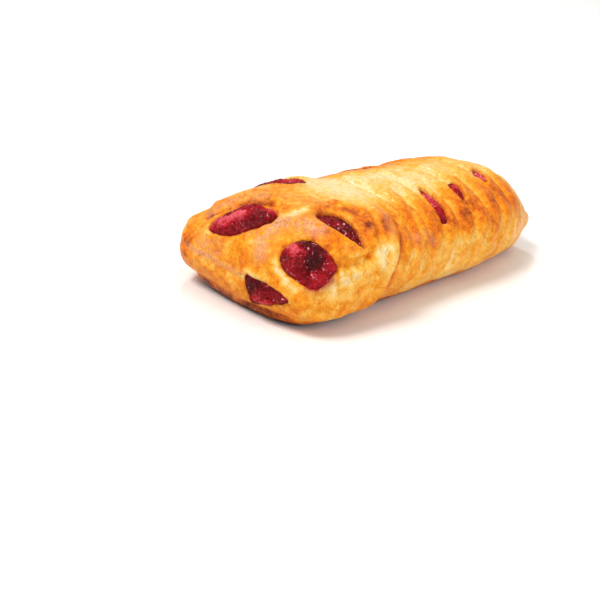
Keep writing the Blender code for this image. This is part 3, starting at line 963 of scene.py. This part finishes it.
def lump_mesh(name, window, surface, grain_height):
    """The filling in one window: a plug whose top follows the strawberry pieces."""
    rings, segments = LARGE_LUMP if window.half_width > LARGE_HALF_WIDTH else SMALL_LUMP
    shape = bmesh.new()
    bmesh.ops.create_uvsphere(shape, u_segments=segments, v_segments=rings, radius=1.0)
    mesh = mesh_from(shape, "lump_" + name)
    unit = points_of(mesh)
    centre, first, second, normal = window_frame(window)
    share = np.arccos(np.clip(unit[:, 2], -1.0, 1.0)) / np.pi
    angle = np.arctan2(unit[:, 1], unit[:, 0])
    reach = np.where(share < TOP_SHARE, share / TOP_SHARE, 1.0)
    foot = smooth_ramp((share - FOOT_SHARE) / FOOT_RUN)
    reach = reach * (1.0 - 0.999 * foot)
    flat = outline_at(window, angle, BITE_INTO_WALL) * reach[:, None]
    rise, _ = fruit_in_window(name, window, flat, grain_height)
    top = surface(flat) + window.stand + rise
    sunk = np.clip((share - TOP_SHARE) / (FOOT_SHARE - TOP_SHARE), 0.0, 1.0)
    height = top * (1.0 - sunk) - LUMP_INWARDS * sunk
    points = centre + np.outer(flat[:, 0], first) + np.outer(flat[:, 1], second)
    set_points(mesh, points + np.outer(height, normal))
    return mesh


def pieces_in(name, window):
    """The strawberry pieces of a window, listed or drawn at random from its name."""
    if name in PIECES:
        return PIECES[name]
    draw = random.Random("strawberry " + name)
    long, wide = window.half_length / MM, window.half_width / MM
    return tuple(
        (
            draw.uniform(-0.7, 0.7) * long,
            draw.uniform(-0.4, 0.4) * wide,
            draw.uniform(0.3, 0.5) * long,
            draw.uniform(0.5, 0.8) * wide,
            draw.uniform(0.5, 1.5) * min(1.0, wide / 4.0),
            draw.uniform(0.1, 0.95),
        )
        for _ in range(LOOSE_PIECES)
    )


def cells(points, size):
    """Rounded cells of this size: how high in its cell a point is, and how near a crease."""
    found = [noise.voronoi(Vector(place))[0] for place in (points / size).tolist()]
    nearest, following = np.array(found)[:, :2].T
    return 1.0 - nearest**2, bell((following - nearest) / CREASE_WIDTH)


def fruit_in_window(name, window, flat, grain_height):
    """The fruit over a window's plane: its height against the crust, and how red it is."""
    spots = np.column_stack([flat, np.full(len(flat), window.along * MM)])
    bend = np.stack([grain(spots, CLUMP_SIZE, 2, seed=seed) for seed in (2.0, 6.0)], axis=-1)
    bent = (flat + CLUMP_BEND * bend) / MM
    height = np.zeros(len(flat))
    # Between the pieces a little dark syrup counts as well.
    ripe_sum = np.full(len(flat), 0.02)
    weight = np.full(len(flat), 0.1)
    for along, across, reach, spread, rise, ripe in pieces_in(name, window):
        apart = ((bent[:, 0] - along) / reach) ** 2 + ((bent[:, 1] - across) / spread) ** 2
        dome = max(rise, 0.0) * np.clip(1.0 - apart, 0.0, 1.0) ** PIECE_ROUNDNESS
        height = (height**PIECE_BLEND + dome**PIECE_BLEND) ** (1.0 / PIECE_BLEND)
        share = np.exp(-1.4 * apart)
        ripe_sum += ripe * share
        weight += share
    knobs, creases = cells(spots + CELL_BEND * bend[:, :1], CELL_SIZE)
    knobs = knobs - CELL_MIDDLE
    fine = grain(spots, GRANULE_SIZE, 2, seed=window.along)
    rough = grain_height * (0.25 * knobs - 0.2 * creases + 0.7 * fine)
    inside, _ = into_window(window, flat)
    edge = 1.0 - smooth_ramp(inside / min(EDGE_RUN, 0.8 * window.half_width))
    rise = height * MM + rough - EDGE_DROP * np.clip(-inside, 0.0, None)
    # The fruit is a little lighter at its edge: painted light that offsets the shade in the
    # crevice under the crust's rim.
    ripe = ripe_sum / weight + 0.08 * knobs - 0.05 * creases + 0.06 * edge
    return rise, ripe


def crust_surface(window, points):
    """A smooth fit to the crust's height over a window's plane, as a function."""
    flat, height, found = close_to(window, points, 3.0 * MM, FILLING_REACH)

    def terms(places):
        u, v = places[:, 0] / MM, places[:, 1] / MM
        return np.stack([np.ones_like(u), u, v, u * u, u * v, v * v, u**3, v**3], axis=-1)

    fit = np.linalg.lstsq(terms(flat[found]), height[found], rcond=None)[0]
    return lambda places: terms(places) @ fit


def filling_material(colours):
    """Strawberries cooked in their own syrup: deep crimson, brighter on the cut fruit, very
    glossy, with a fine grain that glitters, and pale specks of seeds and sugar that are also
    painted glints."""
    material, tree = new_material("cooked_strawberry")
    coords = add_node(tree, "TexCoord", output="Object")
    shade = add_node(tree, "Attribute", output="Fac", attribute_name="ripe")
    noises = {}
    for name, size, detail, distortion, weight in (
        ("fibres", 2.8, 5.0, 1.6, 0.8),  # the fruit's flesh
        ("granules", 0.9, 3.0, 0.5, 0.5),  # seeds and soft grains
    ):
        values = {"Scale": 1.0 / (size * MM), "Detail": detail, "Distortion": distortion}
        noises[name] = add_node(tree, "TexNoise", values, {"Vector": coords})
        links = {0: noises[name], 2: shade}
        shade = add_node(tree, "Math", {1: weight}, links, operation="MULTIPLY_ADD")
    shade = add_node(tree, "Math", {1: 0.65}, {0: shade}, operation="SUBTRACT")
    stops = (
        (0.0, colours.syrup),
        (1.0, colours.blush),
        (0.35, colours.deep),
        (0.68, colours.ripe),
    )
    flesh = add_node(tree, "ValToRGB", links={"Fac": shade}, stops=stops)
    # Seeds and sugar show as clusters of pale specks, drawn at twice their real size to show:
    # their own colour, and painted glints as well.
    values = {"Scale": 1.0 / (0.9 * MM), "Detail": 1.0, "W": 4.0}
    seeds_and_glints = add_node(tree, "TexNoise", values, {"Vector": coords}, noise_dimensions="4D")
    values = {"From Min": 0.60, "From Max": 0.67, "To Max": 0.9}
    seeds_and_glints = add_node(tree, "MapRange", values, {"Value": seeds_and_glints})
    values = {"From Min": 0.48, "From Max": 0.58}
    clusters = add_node(tree, "MapRange", values, {"Value": noises["fibres"]})
    seeds_and_glints = add_node(tree, "Math", links={0: seeds_and_glints, 1: clusters}, operation="MULTIPLY")
    tone = {7: (*colours.seeds_and_glints, 1.0)}
    flesh = add_node(tree, "Mix", tone, {0: seeds_and_glints, 6: flesh}, output=2, data_type="RGBA")
    relief = noises["fibres"]
    for source, weight in ((noises["granules"], 0.6), (seeds_and_glints, 0.3)):
        links = {0: source, 2: relief}
        relief = add_node(tree, "Math", {1: weight}, links, operation="MULTIPLY_ADD")
    bump = add_node(tree, "Bump", {"Strength": 1.0, "Distance": 0.8 * MM}, {"Height": relief})
    shader = add_node(
        tree,
        "BsdfPrincipled",
        {"Roughness": 0.16, "IOR": 1.4, "Specular IOR Level": 0.22},
        {"Base Color": flesh, "Normal": bump},
    )
    add_node(tree, "OutputMaterial", links={"Surface": shader})
    return material


def united(mesh, others):
    """One closed mesh out of a mesh and others that overlap it, which are removed."""
    parts = bpy.data.collections.new("parts_to_unite")
    bpy.context.scene.collection.children.link(parts)
    for other in others:
        parts.objects.link(bpy.data.objects.new(other.name, other))
    whole = linked_object(mesh.name, mesh)
    modifier = whole.modifiers.new("unite", "BOOLEAN")
    modifier.operation = "UNION"
    modifier.operand_type = "COLLECTION"
    modifier.collection = parts
    modifier.solver = "MANIFOLD"
    graph = bpy.context.evaluated_depsgraph_get()
    result = bpy.data.meshes.new_from_object(whole.evaluated_get(graph))
    if len(result.polygons) <= len(mesh.polygons):
        raise RuntimeError("the filling's plugs were not united with its core")
    for obj in (*parts.objects, whole):
        bpy.data.objects.remove(obj)
    bpy.data.collections.remove(parts)
    for used in (mesh, *others):
        bpy.data.meshes.remove(used)
    result.name = "strawberry_filling"
    return result


def place_piece(name, mesh, material, node):
    """Links a finished piece, smooth, on the bun's body, in place of its solid."""
    obj = linked_object(name, mesh)
    mesh.materials.clear()
    mesh.materials.append(material)
    mesh.shade_smooth()
    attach(obj, "root")
    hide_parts(node)


class BunCrustSettings(bpy.types.PropertyGroup):
    """Sizes and colours of the crust."""

    rim_radius: length_property("Rim radius", 0.8, "How round the windows' rims are")
    wrinkle_height: length_property("Wrinkle height", 0.22, "Height of the dough's wrinkles")
    cream: colour_property("Cream", "#f9e0a6", "Dough that hardly browned")
    pale: colour_property("Pale", "#fac860", "Lightly baked dough")
    golden: colour_property("Golden", "#f5a41c", "Golden crust")
    orange: colour_property("Orange", "#e67e0a", "Well baked crust")
    brown: colour_property("Brown", "#aa520c", "Browned crust")
    scorched: colour_property("Scorched", "#4a1c05", "Darkest edges")
    dried: colour_property("Dried", "#ecae84", "Skin that dried to a pinkish brown")
    jam_stain: colour_property("Jam stain", "#a02c30", "Dough soaked with jam")


class BunFillingSettings(bpy.types.PropertyGroup):
    """Sizes and colours of the filling."""

    grain_height: length_property("Grain height", 0.4, "Height of the fruit's granules")
    syrup: colour_property("Syrup", "#430308", "Syrup in the hollows")
    deep: colour_property("Deep", "#780612", "Cooked fruit")
    ripe: colour_property("Ripe", "#b61a28", "Red fruit")
    blush: colour_property("Blush", "#e0606a", "Lightest fruit flesh")
    # The specks' colour: seeds and sugar, and painted glints.
    seeds_and_glints: colour_property("Specks", "#eda3ab", "Seeds and sugar that catch the light")


class BunStageSettings(bpy.types.PropertyGroup):
    """The studio."""

    floor: colour_property("Floor", "#f6f5f3", "Paper on the table")
    key_power: power_property("Key light", 17.0, "Power of the large light above the bun")
    fill_power: power_property("Fill light", 8.5, "Power of the light on the camera's side")
    glint_power: power_property("Glint light", 4.5, "Power of the small light behind the bun")


class STRAWBERRYBUN_OT_crust(bpy.types.Operator):
    """Build the baked crust"""

    bl_idname = "strawberry_bun.crust"
    bl_label = "Crust"

    def execute(self, context):
        settings = context.scene.bun_crust
        mesh = unit_sphere("pastry_crust", CRUST_RINGS, CRUST_SEGMENTS, split_near_windows)
        along, around = crust_angles(points_of(mesh))
        plain = crust_points(along, around)
        wrinkles = settings.wrinkle_height * grain(plain, WRINKLE_SIZE, 3, seed=1.0)
        folds = near_lines(plain, FOLDS) * MM - BASE_SEAM_DEPTH * base_seam(plain)
        points = crust_points(along, around, wrinkles + folds)
        shaped, depths, rims = carve_windows(points, settings.rim_radius)
        set_points(mesh, shaped)
        set_attribute(mesh, "bake", bake_and_shading_shares(points, along, around, depths, folds))
        set_attribute(mesh, "dry", near_lines(points, DRIED))
        # Jam soaks the walls below the rims, and a little of the edge round each window.
        soak = smooth_ramp((depths - SOAK_DEPTH) / SOAK_RUN)
        edge = EDGE_SOAK * bell(np.clip(rims + 0.4, -9.0, 0.0) / 0.5)
        set_attribute(mesh, "jam", near_lines(points, STAINS) + np.maximum(soak, edge))
        place_piece("pastry_crust", mesh, crust_material(settings), "pastry")
        return {"FINISHED"}


class STRAWBERRYBUN_OT_filling(bpy.types.Operator):
    """Build the strawberry filling"""

    bl_idname = "strawberry_bun.filling"
    bl_label = "Filling"

    def execute(self, context):
        settings = context.scene.bun_filling
        mesh = unit_sphere("strawberry_filling", CORE_RINGS, CORE_SEGMENTS)
        unit = points_of(mesh)
        along = np.degrees(np.arccos(np.clip(-unit[:, 0], -1.0, 1.0)))
        around = np.degrees(np.arctan2(-unit[:, 1], unit[:, 2]))
        core = plain_form(along, around, END_WALL, SIDE_WALL, TOP_WALL, BASE_WALL)
        core[:, 2] = np.maximum(core[:, 2], BASE_WALL)
        set_points(mesh, core)
        grid = np.meshgrid(np.linspace(*SAMPLES_ALONG), np.linspace(*SAMPLES_AROUND))
        crust = crust_points(grid[0].ravel(), grid[1].ravel())
        plugs = [
            lump_mesh(name, window, crust_surface(window, crust), settings.grain_height)
            for name, window in WINDOWS.items()
        ]
        mesh = united(mesh, plugs)
        points = points_of(mesh)
        ripe = np.full(len(points), CORE_RIPENESS)
        for name, window in WINDOWS.items():
            flat, _, found = close_to(window, points, 2.0 * MM, FILLING_REACH)
            inside, _ = into_window(window, flat[found])
            held = found[inside > -1.5 * MM]
            ripe[held] = fruit_in_window(name, window, flat[held], settings.grain_height)[1]
        set_attribute(mesh, "ripe", ripe)
        material = filling_material(settings)
        place_piece("strawberry_filling", mesh, material, "filling")
        return {"FINISHED"}


def add_camera():
    a, e, r = (math.radians(value) for value in (AZIMUTH, ELEVATION, ROLL))
    back = Vector((math.sin(a) * math.cos(e), -math.cos(a) * math.cos(e), math.sin(e)))
    level = (-back).cross(Vector((0.0, 0.0, 1.0))).normalized()
    upright = level.cross(-back)
    right = level * math.cos(r) + upright * math.sin(r)
    up = upright * math.cos(r) - level * math.sin(r)
    across = (TARGET_PIXEL[0] - PICTURE / 2.0) / FOCAL_PIXELS
    down = (TARGET_PIXEL[1] - PICTURE / 2.0) / FOCAL_PIXELS
    camera = linked_object("camera", bpy.data.cameras.new("camera"))
    place = TARGET - (right * across - up * down - back) * DISTANCE
    turned = Matrix((right, up, back)).transposed().to_4x4()
    camera.matrix_world = Matrix.Translation(place) @ turned
    camera.data.sensor_width = SENSOR
    camera.data.lens = FOCAL_PIXELS / PICTURE * SENSOR
    camera.data.clip_start, camera.data.clip_end = CLIP
    bpy.context.scene.camera = camera


def add_softbox(name, place, size, power):
    """A square studio light that faces the bun."""
    light = bpy.data.lights.new(name, "AREA")
    light.size = size
    light.energy = power
    obj = linked_object(name, light)
    obj.location = place
    aim = LIGHT_TARGET - Vector(place)
    obj.rotation_euler = aim.to_track_quat("-Z", "Y").to_euler()


class STRAWBERRYBUN_OT_stage(bpy.types.Operator):
    """Set up the floor, the lights and the camera"""

    bl_idname = "strawberry_bun.stage"
    bl_label = "Stage"

    def execute(self, context):
        settings = context.scene.bun_stage
        shape = bmesh.new()
        bmesh.ops.create_grid(shape, x_segments=1, y_segments=1, size=FLOOR_REACH)
        bmesh.ops.translate(shape, verts=shape.verts, vec=(0.0, 0.0, -FLOOR_GAP))
        floor = linked_object("floor", mesh_from(shape, "floor"))
        material, tree = new_material("matt_white_paper")
        values = {"Base Color": (*settings.floor, 1.0), "Roughness": 0.9}
        shader = add_node(tree, "BsdfPrincipled", values)
        add_node(tree, "OutputMaterial", links={"Surface": shader})
        floor.data.materials.append(material)
        world = bpy.data.worlds.new("studio")
        world.use_nodes = True
        background = world.node_tree.nodes["Background"].inputs
        background["Color"].default_value = (1, 1, 1, 1)
        background["Strength"].default_value = WORLD_STRENGTH
        context.scene.world = world
        for name, (place, size) in SOFTBOXES.items():
            add_softbox(name, place, size, getattr(settings, name + "_power"))
        add_camera()
        context.scene.view_settings.view_transform = "Standard"
        context.scene.view_settings.gamma = VIEW_GAMMA
        return {"FINISHED"}


class STRAWBERRYBUN_PT_panel(bpy.types.Panel):
    """The bun's pieces, sizes and colours"""

    bl_label = "Strawberry Bun"
    bl_idname = "STRAWBERRYBUN_PT_panel"
    bl_space_type = "VIEW_3D"
    bl_region_type = "UI"
    bl_category = "Bun"

    def draw(self, context):
        for operator, name, _ in PANEL_ROWS:
            box = self.layout.box()
            box.operator(operator.bl_idname)
            settings = getattr(context.scene, name)
            for key in settings.bl_rna.properties.keys():
                if key not in ("rna_type", "name"):
                    box.prop(settings, key)


PANEL_ROWS = (
    (STRAWBERRYBUN_OT_stage, "bun_stage", BunStageSettings),
    (STRAWBERRYBUN_OT_crust, "bun_crust", BunCrustSettings),
    (STRAWBERRYBUN_OT_filling, "bun_filling", BunFillingSettings),
)
CLASSES = (
    *(group for _, _, group in PANEL_ROWS),
    *(operator for operator, _, _ in PANEL_ROWS),
    STRAWBERRYBUN_PT_panel,
)


def register():
    for cls in CLASSES:
        bpy.utils.register_class(cls)
    for _, name, group in PANEL_ROWS:
        setattr(bpy.types.Scene, name, PointerProperty(type=group))


def unregister():
    for _, name, _ in PANEL_ROWS:
        delattr(bpy.types.Scene, name)
    for cls in reversed(CLASSES):
        bpy.utils.unregister_class(cls)


def main():
    register()
    bpy.ops.strawberry_bun.stage()
    bpy.ops.strawberry_bun.crust()
    bpy.ops.strawberry_bun.filling()


if __name__ == "__main__":
    main()
